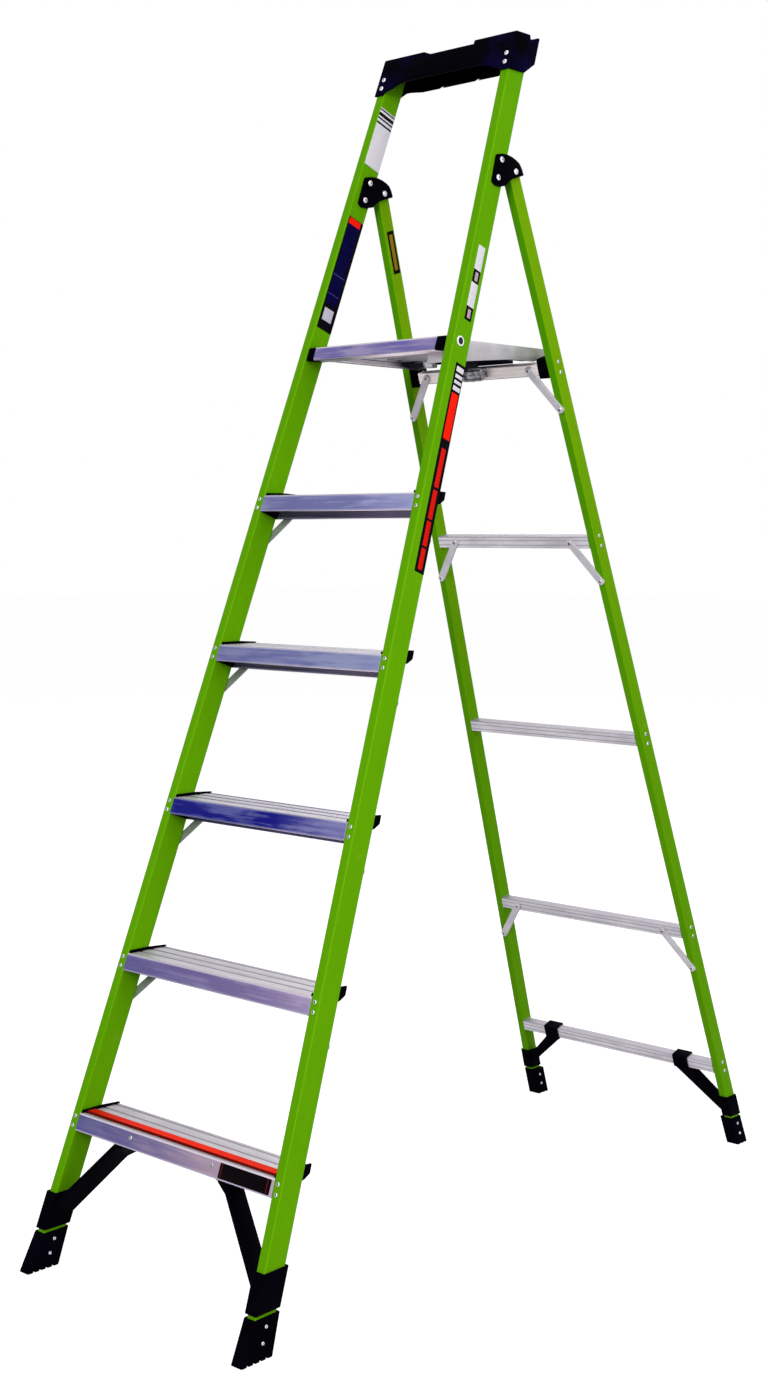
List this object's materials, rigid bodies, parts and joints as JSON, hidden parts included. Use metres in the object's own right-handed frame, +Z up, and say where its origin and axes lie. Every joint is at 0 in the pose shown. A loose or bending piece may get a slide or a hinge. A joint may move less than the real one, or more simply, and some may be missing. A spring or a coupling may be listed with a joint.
{
  "type": "platform stepladder",
  "caption": "Folding stepladder with green fibreglass rails, aluminium treads, a swing-up standing platform, a tool-tray top cap and black moulded feet and braces",
  "frame": {"origin": "on the floor, in the middle of the bounding box of the opened ladder", "axes": "+Z up, +X to the climber's right, +Y from the climbing side towards the rear legs"},
  "size_m": [0.6014, 1.5438, 2.3014],
  "materials": {
    "green_fibreglass": "semi-gloss lime green fibreglass",
    "black_moulding": "moulded satin black",
    "black_rubber": "matt black",
    "black_painted_plate": "black powder coat",
    "rivet_steel": "plain",
    "orange_plastic": "satin orange-red",
    "white_plastic": "white moulding",
    "bare_aluminium": "mill finish extrusion"
  },
  "bodies": {
    "front_section": {"front_rail_left": "green_fibreglass", "front_rail_right": "green_fibreglass", "step_1": "bare_aluminium", "step_2": "bare_aluminium", "step_3": "bare_aluminium", "step_4": "bare_aluminium", "step_5": "bare_aluminium", "step_end_caps_left": "black_moulding", "step_end_caps_right": "black_moulding", "knee_braces_left": "bare_aluminium", "knee_braces_right": "bare_aluminium", "front_corner_brace_left": "black_moulding", "front_corner_brace_right": "black_moulding", "front_foot_left": "black_rubber", "front_foot_right": "black_rubber", "top_cap": "black_moulding", "hinge_plate_outer_left": "black_painted_plate", "hinge_plate_outer_right": "black_painted_plate", "hinge_plate_inner_left": "black_painted_plate", "hinge_plate_inner_right": "black_painted_plate", "hinge_pins": "rivet_steel", "pivot_bush_left": "white_plastic", "pivot_bush_right": "white_plastic", "step_rivets": "rivet_steel", "knee_brace_rivets": "rivet_steel", "top_cap_rivets": "rivet_steel", "front_foot_rivets": "rivet_steel", "hinge_rivets": "rivet_steel"},
    "press_bar": {"ground_press_bar": "orange_plastic"},
    "rear_section": {"rear_rail_left": "green_fibreglass", "rear_rail_right": "green_fibreglass", "rear_bar_1": "bare_aluminium", "rear_bar_2": "bare_aluminium", "rear_bar_3": "bare_aluminium", "rear_bar_4": "bare_aluminium", "rear_bar_5": "bare_aluminium", "bar_end_block_left": "black_moulding", "bar_end_block_right": "black_moulding", "rear_braces_upper": "bare_aluminium", "rear_braces_middle": "bare_aluminium", "rear_braces_lower": "bare_aluminium", "rear_corner_brace_left": "black_moulding", "rear_corner_brace_right": "black_moulding", "rear_foot_left": "black_rubber", "rear_foot_right": "black_rubber", "rear_bar_rivets": "rivet_steel", "rear_brace_rivets": "rivet_steel", "rear_foot_rivets": "rivet_steel", "catch_housing": "black_moulding", "catch_pin": "rivet_steel"},
    "catch_lever": {"catch_lever": "black_moulding"},
    "platform": {"platform_nose": "bare_aluminium", "nose_end_cap_left": "black_moulding", "nose_end_cap_right": "black_moulding", "platform_deck": "bare_aluminium", "platform_side_left": "bare_aluminium", "platform_side_right": "bare_aluminium", "platform_latch_block": "bare_aluminium", "catch_keeper": "bare_aluminium", "platform_pins": "rivet_steel"}
  },
  "joints": [
    {"name": "rear_fold", "type": "hinge", "parent": "front_section", "child": "rear_section", "pos_m": [0, 0.0645, 2.03437], "axis": [-1, 0, 0], "range_deg": [0, 38.76]},
    {"name": "platform_fold", "type": "hinge", "parent": "front_section", "child": "platform", "pos_m": [0, -0.11514, 1.70287], "axis": [1, 0, 0], "range_deg": [0, 69.87]},
    {"name": "catch_lever_turn", "type": "hinge", "parent": "rear_section", "child": "catch_lever", "pos_m": [0, 0.16083, 1.67193], "axis": [-1, 0, 0], "range_deg": [0, 15], "stiffness_Nm_per_rad": 0.15, "springref_deg": -11.46},
    {"name": "press_bar_travel", "type": "slide", "parent": "front_section", "child": "press_bar", "axis": [0, 0, -1], "range_m": [0, 0.003], "stiffness_N_per_m": 2000, "springref_m": -0.002}
  ],
  "couplings": [
    {"joint": "platform_fold", "follows": "rear_fold", "ratio": 1.8028}
  ]
}
